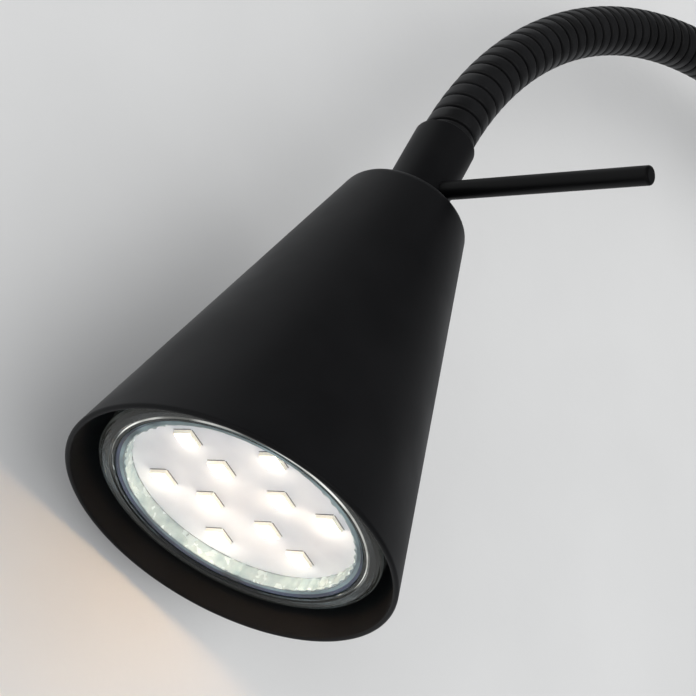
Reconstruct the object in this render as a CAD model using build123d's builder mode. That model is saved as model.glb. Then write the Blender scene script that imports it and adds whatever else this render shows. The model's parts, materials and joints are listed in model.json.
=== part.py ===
from build123d import *
import os
from math import atan, cos, radians, sin, sqrt

# A wall spotlight: a round wall base with a rocker switch, a ribbed swan neck that bends,
# and a cone shade with a reflector lamp. Millimetres, +Z up, the wall is the plane Y = 0
# with +Y into it, and the origin is the middle of the base's back.

# Wall base
base_diameter = 80.0
base_depth = 28.0
cover_wall = 1.2
cover_edge_radius = 2.5
cover_off_wall = 0.3
plate_thickness = 1.5
plate_clearance = 0.4
wall_slot_spacing = 52.0
wall_slot_width = 4.5
wall_slot_length = 8.0
cable_entry_diameter = 16.0
cable_entry_height = 12.0
tab_width = 10.0
tab_height = 11.0
tab_thickness = 1.5
cover_screw_diameter = 3.0
cover_screw_length = 6.0
cover_screw_head_diameter = 5.4
cover_screw_head_height = 1.6

# Threaded tubes, washers and nuts at both ends of the neck
fit_clearance = 0.05
nipple_diameter = 8.0
nipple_bore = 5.2
nipple_engagement = 4.0
nipple_tail = 1.0
washer_diameter = 13.0
washer_thickness = 0.8
nut_diameter = 12.6
nut_thickness = 3.0

# Neck
neck_diameter = 10.4
neck_bore = 4.8
neck_bend_radius = 96.0
neck_bend_angle = 137.0
neck_lean = 5.0
neck_links = 14
ribs_per_link = 5
groove_width = 0.5
groove_depth = 0.55
groove_flank = 0.18
joint_gap = 1.4
joint_ball_diameter = 7.8
joint_play = 0.2
neck_cable_diameter = 3.8
cable_tail = 2.4

# Sleeves that hold the neck's two ends
sleeve_diameter = 12.2
sleeve_edge = 0.6
sleeve_web = 2.0
ferrule_length = 20.0

# Handle rod
handle_diameter = 3.5
handle_reach = 47.3
handle_above_shade = 6.2
handle_turn = 13.6
handle_stud_diameter = 2.6
handle_stud_length = 2.4
handle_sink = 0.1
handle_end_radius = 0.3

# Shade
shade_length = 74.0
shade_top_diameter = 24.0
shade_wall = 1.0
shade_top_edge_radius = 2.0
shade_lip_radius = 0.3
lamp_to_shade = 3.3

# Lamp
lamp_rim_diameter = 50.0
lamp_rim_width = 3.0
lamp_rim_height = 4.6
lamp_rim_overhang = 1.0
lamp_bowl_height = 33.6
lamp_bowl_crown = 1.8
lamp_glass_wall = 2.2
lamp_base_height = 12.4
lamp_base_diameter = 27.0
lamp_base_taper = 1.5
lamp_base_floor = 4.5
front_glass_thickness = 1.0
front_glass_inset = 0.2
glass_ledge = 1.4
seat_clearance = 0.2
board_thickness = 1.2
board_below_rim = 3.8
board_ledge = 2.0
led_size = 3.5
led_height = 0.8
led_outer_ring = 15.0
led_outer_count = 6
led_outer_turn = -19.0
led_inner_ring = 7.5
led_inner_count = 4
led_inner_turn = 3.0
pin_spacing = 10.0
pin_shank_diameter = 2.5
pin_head_diameter = 4.8
pin_head_height = 2.8
pin_set_depth = 3.0
lamp_twist = 45.0
driver_diameter = 19.0
driver_thickness = 1.6
driver_seat_depth = 4.0
driver_ledge = 1.2
capacitor_diameter = 8.0
capacitor_height = 13.0

# Lamp holder and its bracket
holder_diameter = 24.6
holder_height = 13.0
holder_face = 2.8
holder_play = 0.3
chamber_margin = 0.6
bracket_thickness = 1.0
bracket_leg = 9.5
bracket_width = 10.0
bracket_span = 19.0
bracket_foot = 6.3
holder_screw_spacing = 12.0
holder_screw_diameter = 2.5
holder_screw_depth = 5.0
holder_screw_head_diameter = 4.2
holder_screw_head_height = 1.6
contact_thickness = 0.8
contact_diameter = 4.0
contact_tail_diameter = 1.6
contact_tail_length = 0.6
head_lead_diameter = 1.4

# Rocker switch
switch_width = 12.8
switch_height = 19.0
switch_depth = 15.5
switch_wall = 1.0
switch_floor = 1.6
switch_clearance = 0.2
bezel_margin = 1.1
bezel_thickness = 1.5
rocker_play = 0.3
rocker_end_play = 0.7
rocker_tilt = 10.0
rocker_pivot_below_bezel = 2.0
rocker_under = 2.0
rocker_end_rise = 2.6
rocker_middle_rise = 1.4
trunnion_diameter = 2.0
trunnion_play = 0.1
blade_width = 4.8
blade_thickness = 0.8
blade_length = 6.5
blade_spacing = 9.0

# Terminal block, earth screw and leads in the base
terminal_height = -22.0
pole_pitch = 11.0
pole_width = 6.6
pole_length = 14.0
pole_height = 7.0
terminal_slab = 5.0
terminal_margin = 1.2
terminal_tube_diameter = 4.2
terminal_tube_bore = 2.8
terminal_screw_diameter = 2.4
terminal_screw_spacing = 8.0
terminal_fixing_diameter = 2.6
terminal_fixing_head_diameter = 4.0
terminal_fixing_head_height = 1.6
earth_x = 17.0
earth_z = 22.0
earth_screw_diameter = 4.0
earth_head_diameter = 7.0
earth_head_height = 2.6
earth_washer_diameter = 9.0
earth_washer_thickness = 1.0
lead_diameter = 1.8
lead_bend_radius = 3.0
lead_in_tube = 3.0
lead_on_blade = 1.0
switched_lead_drop = 9.0
switched_lead_rise = 8.0
neutral_lead_drop = 7.0
neutral_lead_swing = 3.0
neutral_lead_forward = 2.0
neutral_lead_turn_height = 8.0
neutral_lead_low_height = -6.0
live_lead_rise = 4.0
earth_lead_drop = 8.0
earth_lead_low_height = -4.0

# Sizes worked out from those above
base_radius = base_diameter / 2
cover_inside = base_radius - cover_wall
plate_radius = cover_inside - plate_clearance
neck_off_wall = base_depth / 2
neck_radius = neck_diameter / 2
neck_root_radius = neck_radius - groove_depth
neck_length = neck_bend_radius * radians(neck_bend_angle)
neck_insert = neck_diameter
link_length = neck_length / neck_links
rib_pitch = link_length / ribs_per_link
ball_radius = joint_ball_diameter / 2
sleeve_radius = sleeve_diameter / 2
nipple_radius = nipple_diameter / 2
handle_radius = handle_diameter / 2
collar_length = handle_above_shade + handle_radius + sleeve_web + neck_insert
shade_top_radius = shade_top_diameter / 2
lamp_rim_radius = lamp_rim_diameter / 2
shade_flare = atan((lamp_rim_radius + lamp_to_shade - shade_top_radius) / shade_length)
shade_wall_across = shade_wall / cos(shade_flare)
shade_mouth_radius = lamp_rim_radius + lamp_to_shade + shade_wall_across
pin_circle = pin_spacing / 2

# Frame of the neck and of the head
up = Vector(0, 0, 1)
neck_out = Vector(-cos(radians(neck_lean)), -sin(radians(neck_lean)), 0)
neck_normal = Vector(-sin(radians(neck_lean)), cos(radians(neck_lean)), 0)
ferrule_mouth = Vector(0, -neck_off_wall, base_radius + ferrule_length)


def neck_place(distance):
    """Point and heading of the neck's centre line, measured from the ferrule's mouth."""
    turn = min(max(distance, 0), neck_length) / neck_bend_radius
    heading = neck_out * sin(turn) + up * cos(turn)
    bend = neck_out * (1 - cos(turn)) + up * sin(turn)
    straight = distance - turn * neck_bend_radius
    return ferrule_mouth + bend * neck_bend_radius + heading * straight, heading


def neck_plane(distance):
    """Plane across the neck, its X axis steady along the whole neck."""
    point, heading = neck_place(distance)
    return Plane(origin=point, x_dir=neck_normal, z_dir=heading)


collar_mouth, head_axis = neck_place(neck_length)
head_top = collar_mouth + head_axis * collar_length
head_line = Axis(head_top, head_axis)
toward_bend = head_axis.cross(neck_normal)
handle_direction = neck_normal * -cos(radians(handle_turn)) + toward_bend * sin(radians(handle_turn))
head_section = Plane(origin=head_top, x_dir=handle_direction, z_dir=handle_direction.cross(head_axis))


def head_plane(distance):
    """Plane square to the head's axis, measured from the shade's top towards its mouth."""
    return Plane(origin=head_top + head_axis * distance, x_dir=handle_direction, z_dir=head_axis)


def handle_plane(distance):
    """Plane square to the handle rod, measured from the head's axis."""
    middle = head_top - head_axis * handle_above_shade
    return Plane(origin=middle + handle_direction * distance, x_dir=head_axis, z_dir=handle_direction)


def wall_plane(depth, x=0, z=0):
    """Plane parallel to the wall, facing the room."""
    return Plane(origin=(x, -depth, z), x_dir=(1, 0, 0), z_dir=(0, -1, 0))


def column_plane(height):
    """Level plane on the upright line of the neck's lower end."""
    return Plane(origin=(0, -neck_off_wall, height), x_dir=(1, 0, 0), z_dir=(0, 0, 1))


def side_plane(x):
    """Upright plane across X at the height of the cover screws, facing away from the middle."""
    return Plane(origin=(x, -cover_screw_depth, 0), x_dir=(0, 0, 1), z_dir=(1 if x > 0 else -1, 0, 0))


def disc(plane, diameter, height, mode=Mode.ADD):
    """Round boss, or with Mode.SUBTRACT a round hole, standing on a plane."""
    with BuildSketch(plane) as outline:
        Circle(diameter / 2)
    extrude(outline.sketch, amount=height, mode=mode)


def discs(plane, places, diameter, height, mode=Mode.ADD):
    """Round bosses or holes at several places of one plane."""
    with BuildSketch(plane) as outline:
        with Locations(*places):
            Circle(diameter / 2)
    extrude(outline.sketch, amount=height, mode=mode)


def hexagon(plane, diameter, height):
    """Six-sided nut blank across its corners."""
    with BuildSketch(plane) as outline:
        RegularPolygon(diameter / 2, 6)
    extrude(outline.sketch, amount=height)


def turned(points):
    """Solid of revolution about the head's axis, from radius and distance pairs."""
    with BuildSketch(head_section) as profile:
        with BuildLine():
            Polyline(*points, close=True)
        make_face()
    revolve(profile.sketch, axis=head_line)


def wire(points, diameter, bend):
    """Insulated wire along straight runs joined by arcs."""
    with BuildLine() as route:
        FilletPolyline(*points, radius=bend)
    start = points[0]
    heading = (Vector(points[1]) - Vector(start)).normalized()
    with BuildSketch(Plane(origin=start, z_dir=heading)) as section:
        Circle(diameter / 2)
    sweep(section.sketch, path=route.wire())


# Places along the head's axis
washer_front = shade_wall + washer_thickness
bracket_front = washer_front + bracket_thickness
nut_front = bracket_front + nut_thickness
nipple_end = nut_front + nipple_tail
holder_back = washer_front + bracket_leg
holder_front = holder_back + holder_height
chamber_front = holder_front - holder_face
pin_head_front = chamber_front - holder_play
pin_head_back = pin_head_front - pin_head_height
contact_front = pin_head_back - holder_play
chamber_back = contact_front - contact_thickness
contact_tail_end = holder_back - contact_tail_length
lamp_back = holder_front + holder_play
bowl_back = lamp_back + lamp_base_height
lamp_front = bowl_back + lamp_bowl_height

# Places in the base
tab_face = sqrt(cover_inside**2 - (tab_width / 2) ** 2) - plate_clearance
cover_screw_depth = plate_thickness + tab_height - tab_width / 2
washer_top = sqrt(cover_inside**2 - (washer_diameter / 2) ** 2)
nut_top = washer_top - washer_thickness
nipple_low = nut_top - nut_thickness - nipple_tail
ferrule_floor = ferrule_mouth.Z - neck_insert - sleeve_web
cable_low = nipple_low - cable_tail
bezel_front = base_depth + bezel_thickness
switch_back = base_depth - switch_depth
blade_end = switch_back - blade_length
tube_depth = plate_thickness + terminal_slab
pole_x = (-pole_pitch, 0, pole_pitch)
pole_places = [(x, terminal_height) for x in pole_x]
fixing_places = [(-pole_pitch / 2, terminal_height), (pole_pitch / 2, terminal_height)]
terminal_top = terminal_height + pole_length / 2

# Back plate against the wall, with slots for two wall screws and tabs for the cover
with BuildPart() as back_plate:
    with BuildSketch(wall_plane(0)):
        Circle(plate_radius)
        with GridLocations(wall_slot_spacing, 0, 2, 1):
            SlotOverall(wall_slot_length, wall_slot_width, mode=Mode.SUBTRACT)
    extrude(amount=plate_thickness)
    disc(wall_plane(0, 0, cable_entry_height), cable_entry_diameter, plate_thickness, Mode.SUBTRACT)
    disc(wall_plane(0, earth_x, earth_z), earth_screw_diameter, plate_thickness, Mode.SUBTRACT)
    discs(wall_plane(0), fixing_places, terminal_fixing_diameter, plate_thickness, Mode.SUBTRACT)
    with BuildSketch(wall_plane(plate_thickness)):
        with GridLocations(2 * tab_face - tab_thickness, 0, 2, 1):
            Rectangle(tab_thickness, tab_width)
    extrude(amount=tab_height)
    for side in (1, -1):
        disc(side_plane(side * base_radius), cover_screw_diameter, -base_radius / 2, Mode.SUBTRACT)

# Round cover, a deep-drawn shell
with BuildPart() as base_cover:
    disc(wall_plane(cover_off_wall), base_diameter, base_depth - cover_off_wall)
    fillet(base_cover.faces().sort_by(Axis.Y)[0].edges(), cover_edge_radius)
    shell_depth = base_depth - cover_off_wall - cover_wall
    disc(wall_plane(cover_off_wall), 2 * cover_inside, shell_depth, Mode.SUBTRACT)
    with BuildSketch(wall_plane(base_depth)):
        Rectangle(switch_width + 2 * switch_clearance, switch_height + 2 * switch_clearance)
    extrude(amount=-2 * cover_wall, mode=Mode.SUBTRACT)
    disc(column_plane(0), nipple_diameter + 2 * fit_clearance, base_diameter, Mode.SUBTRACT)
    for side in (1, -1):
        disc(side_plane(side * base_radius), cover_screw_diameter, -2 * cover_wall, Mode.SUBTRACT)

# Two screws through the cover's side into the tabs
with BuildPart() as cover_screws:
    for side in (1, -1):
        disc(side_plane(side * base_radius), cover_screw_head_diameter, cover_screw_head_height)
        disc(side_plane(side * base_radius), cover_screw_diameter, -cover_screw_length)
    for end in (0, -1):
        fillet(cover_screws.edges().group_by(Axis.X)[end], cover_screw_head_height / 2)

# Ferrule on top of the base, saddled to the round cover, holding the neck's lower end
with BuildPart() as base_ferrule:
    disc(column_plane(cover_inside), sleeve_diameter, ferrule_mouth.Z - cover_inside)
    chamfer(base_ferrule.edges().group_by(Axis.Z)[-1], sleeve_edge)
    disc(wall_plane(0), base_diameter, base_depth, Mode.SUBTRACT)
    disc(column_plane(ferrule_mouth.Z), neck_diameter + 2 * fit_clearance, -neck_insert, Mode.SUBTRACT)
    disc(column_plane(cover_inside), nipple_bore, ferrule_mouth.Z - cover_inside, Mode.SUBTRACT)
    disc(column_plane(cover_inside), nipple_diameter, ferrule_floor - cover_inside, Mode.SUBTRACT)

with BuildPart() as base_nipple:
    disc(column_plane(nipple_low), nipple_diameter, ferrule_floor - nipple_low)
    disc(column_plane(nipple_low), nipple_bore, ferrule_floor - nipple_low, Mode.SUBTRACT)

with BuildPart() as base_washer:
    disc(column_plane(nut_top), washer_diameter, washer_thickness)
    disc(column_plane(nut_top), nipple_diameter + 2 * fit_clearance, washer_thickness, Mode.SUBTRACT)

with BuildPart() as base_nut:
    hexagon(column_plane(nut_top), nut_diameter, -nut_thickness)
    disc(column_plane(nut_top), nipple_diameter, -nut_thickness, Mode.SUBTRACT)

# Terminal block with its brass tubes, clamping screws and fixing screws
with BuildPart() as terminal_block:
    slab_width = 2 * pole_pitch + pole_width + 2 * terminal_margin
    with BuildSketch(wall_plane(plate_thickness, 0, terminal_height)):
        Rectangle(slab_width, pole_length)
    extrude(amount=terminal_slab)
    with BuildSketch(wall_plane(tube_depth)):
        with Locations(*pole_places):
            Rectangle(pole_width, pole_length)
    extrude(amount=pole_height)
    for x in pole_x:
        tube_middle = tube_depth + terminal_tube_diameter / 2
        tube_end = Plane(origin=(x, -tube_middle, terminal_top), z_dir=(0, 0, 1))
        disc(tube_end, terminal_tube_diameter, -pole_length, Mode.SUBTRACT)
        screw_row = wall_plane(tube_depth + pole_height, x, terminal_height)
        screw_places = [(0, terminal_screw_spacing / 2), (0, -terminal_screw_spacing / 2)]
        discs(screw_row, screw_places, terminal_screw_diameter, -pole_height / 2, Mode.SUBTRACT)
    discs(wall_plane(tube_depth), fixing_places, terminal_fixing_diameter, -terminal_slab, Mode.SUBTRACT)

with BuildPart() as terminal_tubes:
    for x in pole_x:
        tube_end = Plane(origin=(x, -tube_middle, terminal_top), z_dir=(0, 0, 1))
        disc(tube_end, terminal_tube_diameter, -pole_length)
        disc(tube_end, terminal_tube_bore, -pole_length, Mode.SUBTRACT)

with BuildPart() as terminal_screws:
    screw_seat = tube_depth + terminal_tube_diameter
    for x in pole_x:
        screw_row = wall_plane(screw_seat, x, terminal_height)
        discs(screw_row, screw_places, terminal_screw_diameter, pole_height / 4)

with BuildPart() as terminal_fixing_screws:
    discs(wall_plane(tube_depth), fixing_places, terminal_fixing_head_diameter, terminal_fixing_head_height)
    discs(wall_plane(tube_depth), fixing_places, terminal_fixing_diameter, -tube_depth)

# Earth screw and its cup washer on the back plate
with BuildPart() as earth_washer:
    earth_place = wall_plane(plate_thickness, earth_x, earth_z)
    disc(earth_place, earth_washer_diameter, earth_washer_thickness)
    disc(earth_place, earth_screw_diameter, earth_washer_thickness, Mode.SUBTRACT)

with BuildPart() as earth_screw:
    earth_seat = plate_thickness + earth_washer_thickness
    disc(wall_plane(earth_seat, earth_x, earth_z), earth_head_diameter, earth_head_height)
    disc(wall_plane(earth_seat, earth_x, earth_z), earth_screw_diameter, -earth_seat)
    fillet(earth_screw.faces().sort_by(Axis.Y)[0].edges(), earth_head_height / 3)

# Rocker switch let into the cover's front
pivot_depth = bezel_front - rocker_pivot_below_bezel
pivot = Vector(0, -pivot_depth, 0)
cavity_width = switch_width - 2 * switch_wall
cavity_height = switch_height - 2 * switch_wall

with BuildPart() as switch_housing:
    with BuildSketch(wall_plane(base_depth)):
        RectangleRounded(switch_width + 2 * bezel_margin, switch_height + 2 * bezel_margin, bezel_margin)
    extrude(amount=bezel_thickness)
    chamfer(switch_housing.faces().sort_by(Axis.Y)[0].edges(), bezel_thickness / 4)
    with BuildSketch(wall_plane(switch_back)):
        Rectangle(switch_width, switch_height)
    extrude(amount=switch_depth)
    with BuildSketch(wall_plane(switch_back + switch_floor)):
        Rectangle(cavity_width, cavity_height)
    extrude(amount=bezel_front - switch_back - switch_floor, mode=Mode.SUBTRACT)
    trunnion_seat = Plane(origin=pivot - Vector(switch_width / 2, 0, 0), z_dir=(1, 0, 0))
    disc(trunnion_seat, trunnion_diameter + 2 * trunnion_play, switch_width, Mode.SUBTRACT)

# The rocker stands in its ON position, turned about the trunnions
with BuildPart() as switch_rocker:
    rocker_half = cavity_height / 2 - rocker_end_play
    rocker_width = cavity_width - 2 * rocker_play
    tilt = radians(rocker_tilt)
    rocker_plane = Plane(origin=pivot, x_dir=(0, -sin(tilt), cos(tilt)), z_dir=(1, 0, 0))
    with BuildSketch(rocker_plane):
        with BuildLine():
            Polyline(
                (-rocker_half, -rocker_under),
                (rocker_half, -rocker_under),
                (rocker_half, rocker_end_rise),
                (0, rocker_middle_rise),
                (-rocker_half, rocker_end_rise),
                close=True,
            )
        make_face()
    extrude(amount=rocker_width / 2, both=True)
    disc(Plane(origin=pivot, z_dir=(1, 0, 0)), trunnion_diameter, switch_width / 2)
    disc(Plane(origin=pivot, z_dir=(-1, 0, 0)), trunnion_diameter, switch_width / 2)

with BuildPart() as switch_tabs:
    with BuildSketch(wall_plane(blade_end)):
        with GridLocations(0, blade_spacing, 1, 2):
            Rectangle(blade_width, blade_thickness)
    extrude(amount=blade_length)

# Leads in the base, from the terminal block to the switch, the neck cable and the earth screw
lead_start = cable_low - lead_diameter / 4
core_offset = neck_cable_diameter / 4
blade_height = blade_spacing / 2
blade_touch = -blade_end - lead_on_blade
tube_mouth = terminal_top + lead_diameter / 4
lead_clamp = tube_mouth - lead_in_tube

with BuildPart() as switched_lead:
    route = [
        (core_offset, -neck_off_wall, lead_start),
        (core_offset, -neck_off_wall, lead_start - switched_lead_drop),
        (0, blade_touch, blade_height + switched_lead_rise),
        (0, blade_touch, blade_height + blade_thickness / 2),
    ]
    wire(route, lead_diameter, lead_bend_radius)

with BuildPart() as neutral_lead:
    route = [
        (-core_offset, -neck_off_wall, lead_start),
        (-core_offset, -neck_off_wall, lead_start - neutral_lead_drop),
        (-pole_pitch - neutral_lead_swing, neutral_lead_forward - neck_off_wall, neutral_lead_turn_height),
        (-pole_pitch, -tube_middle, neutral_lead_low_height),
        (-pole_pitch, -tube_middle, lead_clamp),
    ]
    wire(route, lead_diameter, lead_bend_radius)

with BuildPart() as live_lead:
    route = [
        (0, -tube_middle, lead_clamp),
        (0, -tube_middle, tube_mouth + live_lead_rise),
        (0, blade_touch, -blade_height - blade_thickness / 2 - lead_diameter / 4),
    ]
    wire(route, lead_diameter, lead_bend_radius)

with BuildPart() as earth_lead:
    earth_tag_height = earth_z - earth_head_diameter / 2 - lead_diameter / 2
    earth_tag_depth = -earth_seat - lead_diameter / 2
    route = [
        (earth_x, earth_tag_depth, earth_tag_height),
        (earth_x, earth_tag_depth, earth_tag_height - earth_lead_drop),
        (pole_pitch, -tube_middle, earth_lead_low_height),
        (pole_pitch, -tube_middle, lead_clamp),
    ]
    wire(route, lead_diameter, lead_bend_radius)


# Neck: links of the ribbed tube, each joined to the next by a ball in a socket
def neck_link(number):
    start = number * link_length
    end = start + link_length
    lowest = -neck_insert if number == 0 else start + joint_gap / 2
    highest = neck_length + neck_insert if number == neck_links - 1 else end - joint_gap / 2
    with BuildPart() as link:
        for rib in range(ribs_per_link):
            low = lowest if rib == 0 else start + rib * rib_pitch + groove_width / 2
            high = highest if rib == ribs_per_link - 1 else start + (rib + 1) * rib_pitch - groove_width / 2
            with BuildSketch(neck_plane(low)):
                Circle(neck_root_radius)
            with BuildSketch(neck_plane(low + groove_flank)):
                Circle(neck_radius)
            with BuildSketch(neck_plane(high - groove_flank)):
                Circle(neck_radius)
            with BuildSketch(neck_plane(high)):
                Circle(neck_root_radius)
        loft(ruled=True)
        if number < neck_links - 1:
            with Locations(neck_place(end)[0]):
                Sphere(ball_radius)
        if number > 0:
            with Locations(neck_place(start)[0]):
                Sphere(ball_radius + joint_play, mode=Mode.SUBTRACT)
        bore_start = lowest - 2 * ball_radius
        bore_end = highest + 2 * ball_radius
        tube_way(bore_start, bore_end, neck_bore, Mode.SUBTRACT)
    return link


def tube_way(start, end, diameter, mode):
    """Round tube along the neck's centre line, straight before and after the bend."""
    bend_start = max(start, 0)
    bend_end = min(end, neck_length)
    with BuildLine() as route:
        if start < 0:
            Line(neck_place(start)[0], neck_place(0)[0])
        middle = (bend_start + bend_end) / 2
        ThreePointArc(neck_place(bend_start)[0], neck_place(middle)[0], neck_place(bend_end)[0])
        if end > neck_length:
            Line(neck_place(neck_length)[0], neck_place(end)[0])
    with BuildSketch(neck_plane(start)) as section:
        Circle(diameter / 2)
    sweep(section.sketch, path=route.wire(), mode=mode)


links = [neck_link(number) for number in range(neck_links)]

# One cable through the whole neck, from the base to the lamp holder
with BuildPart() as neck_cable:
    cable_start = cable_low - ferrule_mouth.Z
    cable_end = neck_length + collar_length + nipple_end + head_lead_diameter / 4
    tube_way(cable_start, cable_end, neck_cable_diameter, Mode.ADD)

# Collar on the shade's top, holding the neck's upper end and the handle rod
handle_seat = sqrt(sleeve_radius**2 - handle_radius**2) - handle_sink

with BuildPart() as head_collar:
    turned(
        [
            (nipple_radius, 0),
            (sleeve_radius, 0),
            (sleeve_radius, sleeve_edge - collar_length),
            (sleeve_radius - sleeve_edge, -collar_length),
            (neck_radius + fit_clearance, -collar_length),
            (neck_radius + fit_clearance, neck_insert - collar_length),
            (nipple_bore / 2, neck_insert - collar_length),
            (nipple_bore / 2, -nipple_engagement),
            (nipple_radius, -nipple_engagement),
        ]
    )
    disc(handle_plane(handle_seat), handle_diameter + 2 * fit_clearance, sleeve_radius, Mode.SUBTRACT)
    disc(handle_plane(handle_seat), handle_stud_diameter, -handle_stud_length, Mode.SUBTRACT)

with BuildPart() as handle_rod:
    disc(handle_plane(handle_seat), handle_diameter, handle_reach - handle_seat)
    fillet(handle_rod.faces().sort_by(Axis(head_top, handle_direction))[-1].edges(), handle_end_radius)
    disc(handle_plane(handle_seat), handle_stud_diameter, -handle_stud_length)

with BuildPart() as head_nipple:
    disc(head_plane(-nipple_engagement), nipple_diameter, nipple_engagement + nipple_end)
    disc(head_plane(-nipple_engagement), nipple_bore, nipple_engagement + nipple_end, Mode.SUBTRACT)

with BuildPart() as head_washer:
    disc(head_plane(shade_wall), washer_diameter, washer_thickness)
    disc(head_plane(shade_wall), nipple_diameter + 2 * fit_clearance, washer_thickness, Mode.SUBTRACT)

with BuildPart() as head_nut:
    hexagon(head_plane(bracket_front), nut_diameter, nut_thickness)
    disc(head_plane(bracket_front), nipple_diameter, nut_thickness, Mode.SUBTRACT)

# Spun cone shade
with BuildPart() as shade:
    turned(
        [
            (nipple_radius + fit_clearance, 0),
            (shade_top_radius, 0),
            (shade_mouth_radius, shade_length),
            (shade_mouth_radius - shade_wall_across, shade_length),
            (shade_top_radius - shade_wall_across + shade_wall * shade_flare, shade_wall),
            (nipple_radius + fit_clearance, shade_wall),
        ]
    )
    rounds = shade.edges().filter_by(GeomType.CIRCLE)
    top_edge = rounds.filter_by(lambda edge: abs(edge.radius - shade_top_radius) < fit_clearance)
    fillet(top_edge, shade_top_edge_radius)
    rounds = shade.edges().filter_by(GeomType.CIRCLE)
    fillet(rounds.filter_by(lambda edge: edge.radius > lamp_rim_radius), shade_lip_radius)

# Bracket that hangs the lamp holder from the nipple
foot_places = [(holder_screw_spacing / 2, 0), (-holder_screw_spacing / 2, 0)]

with BuildPart() as holder_bracket:
    leg_x = (bracket_span - bracket_thickness) / 2
    foot_x = (bracket_span - bracket_foot) / 2
    with BuildSketch(head_section):
        with Locations((0, washer_front + bracket_thickness / 2)):
            Rectangle(bracket_span, bracket_thickness)
        leg_middle = washer_front + bracket_leg / 2
        with Locations((leg_x, leg_middle), (-leg_x, leg_middle)):
            Rectangle(bracket_thickness, bracket_leg)
        foot_middle = holder_back - bracket_thickness / 2
        with Locations((foot_x, foot_middle), (-foot_x, foot_middle)):
            Rectangle(bracket_foot, bracket_thickness)
    extrude(amount=bracket_width / 2, both=True)
    nipple_hole = nipple_diameter + 2 * fit_clearance
    disc(head_plane(washer_front), nipple_hole, bracket_thickness, Mode.SUBTRACT)
    discs(head_plane(holder_back), foot_places, holder_screw_diameter, -bracket_thickness, Mode.SUBTRACT)

# Ceramic lamp holder with two keyhole slots in its face
twist_arc = CenterArc((0, 0), pin_circle, 90, lamp_twist)
pin_places = [(0, pin_circle), (0, -pin_circle)]
chamber_reach = pin_head_diameter / 2 + chamber_margin

with BuildPart() as lamp_holder:
    disc(head_plane(holder_back), holder_diameter, holder_height)
    chamfer(lamp_holder.edges(), chamber_margin)
    with BuildSketch(head_plane(chamber_back)):
        Circle(pin_circle + chamber_reach)
        Circle(pin_circle - chamber_reach, mode=Mode.SUBTRACT)
    extrude(amount=chamber_front - chamber_back, mode=Mode.SUBTRACT)
    with BuildSketch(head_plane(chamber_front)):
        for turn in (0, 180):
            SlotArc(twist_arc, pin_shank_diameter + 2 * holder_play, rotation=turn)
            with PolarLocations(pin_circle, 1, 90 + lamp_twist + turn):
                Circle(pin_head_diameter / 2 + holder_play)
    extrude(amount=holder_face, mode=Mode.SUBTRACT)
    tail_hole = chamber_back - holder_back
    discs(head_plane(holder_back), pin_places, contact_tail_diameter, tail_hole, Mode.SUBTRACT)
    discs(head_plane(holder_back), foot_places, holder_screw_diameter, holder_screw_depth, Mode.SUBTRACT)

with BuildPart() as holder_screws:
    screw_seat_plane = head_plane(holder_back - bracket_thickness)
    discs(screw_seat_plane, foot_places, holder_screw_head_diameter, -holder_screw_head_height)
    discs(screw_seat_plane, foot_places, holder_screw_diameter, bracket_thickness + holder_screw_depth)

with BuildPart() as holder_contacts:
    discs(head_plane(chamber_back), pin_places, contact_diameter, contact_thickness)
    discs(head_plane(chamber_back), pin_places, contact_tail_diameter, contact_tail_end - chamber_back)

with BuildPart() as head_leads:
    lead_low = nipple_end + head_lead_diameter / 4
    lead_high = contact_tail_end - head_lead_diameter / 4
    lead_turn = (lead_low + lead_high) / 2
    lead_bend = (lead_high - lead_low) / 3
    for side in (1, -1):
        route = [
            (0, side * core_offset, lead_low),
            (0, side * core_offset, lead_turn),
            (0, side * pin_circle, lead_turn),
            (0, side * pin_circle, lead_high),
        ]
        points = [head_plane(0).from_local_coords(point) for point in route]
        wire(points, head_lead_diameter, lead_bend)

# Lamp: base and pins, glass bowl, LED board, LEDs, front glass and driver
base_rim = lamp_base_diameter / 2
driver_pocket = driver_diameter / 2 + seat_clearance

with BuildPart() as lamp_base:
    turned(
        [
            (0, lamp_back),
            (base_rim - lamp_base_taper, lamp_back),
            (base_rim, lamp_back + lamp_base_taper),
            (base_rim, bowl_back),
            (driver_pocket, bowl_back),
            (driver_pocket, bowl_back - driver_seat_depth),
            (driver_pocket - driver_ledge, bowl_back - driver_seat_depth),
            (driver_pocket - driver_ledge, lamp_back + lamp_base_floor),
            (0, lamp_back + lamp_base_floor),
        ]
    )
    discs(head_plane(lamp_back), pin_places, pin_shank_diameter, pin_set_depth, Mode.SUBTRACT)

with BuildPart() as lamp_pins:
    discs(head_plane(pin_head_back), pin_places, pin_head_diameter, pin_head_height)
    chamfer(lamp_pins.edges(), pin_head_height / 8)
    shank_length = lamp_back + pin_set_depth - pin_head_front
    discs(head_plane(pin_head_front), pin_places, pin_shank_diameter, shank_length)

with BuildPart() as lamp_driver:
    driver_back = bowl_back - driver_seat_depth
    disc(head_plane(driver_back), driver_diameter, driver_thickness)
    disc(head_plane(driver_back + driver_thickness), capacitor_diameter, capacitor_height)

rim_back = lamp_front - lamp_rim_height
rim_inside = lamp_rim_radius - lamp_rim_width
shoulder = lamp_rim_radius - lamp_rim_overhang
glass_seat = lamp_front - front_glass_inset - front_glass_thickness
board_pocket = rim_inside - glass_ledge
board_front = lamp_front - board_below_rim
board_back = board_front - board_thickness
bowl_middle = (bowl_back + rim_back) / 2
bowl_belly = (base_rim + shoulder) / 2 + lamp_bowl_crown

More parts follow.
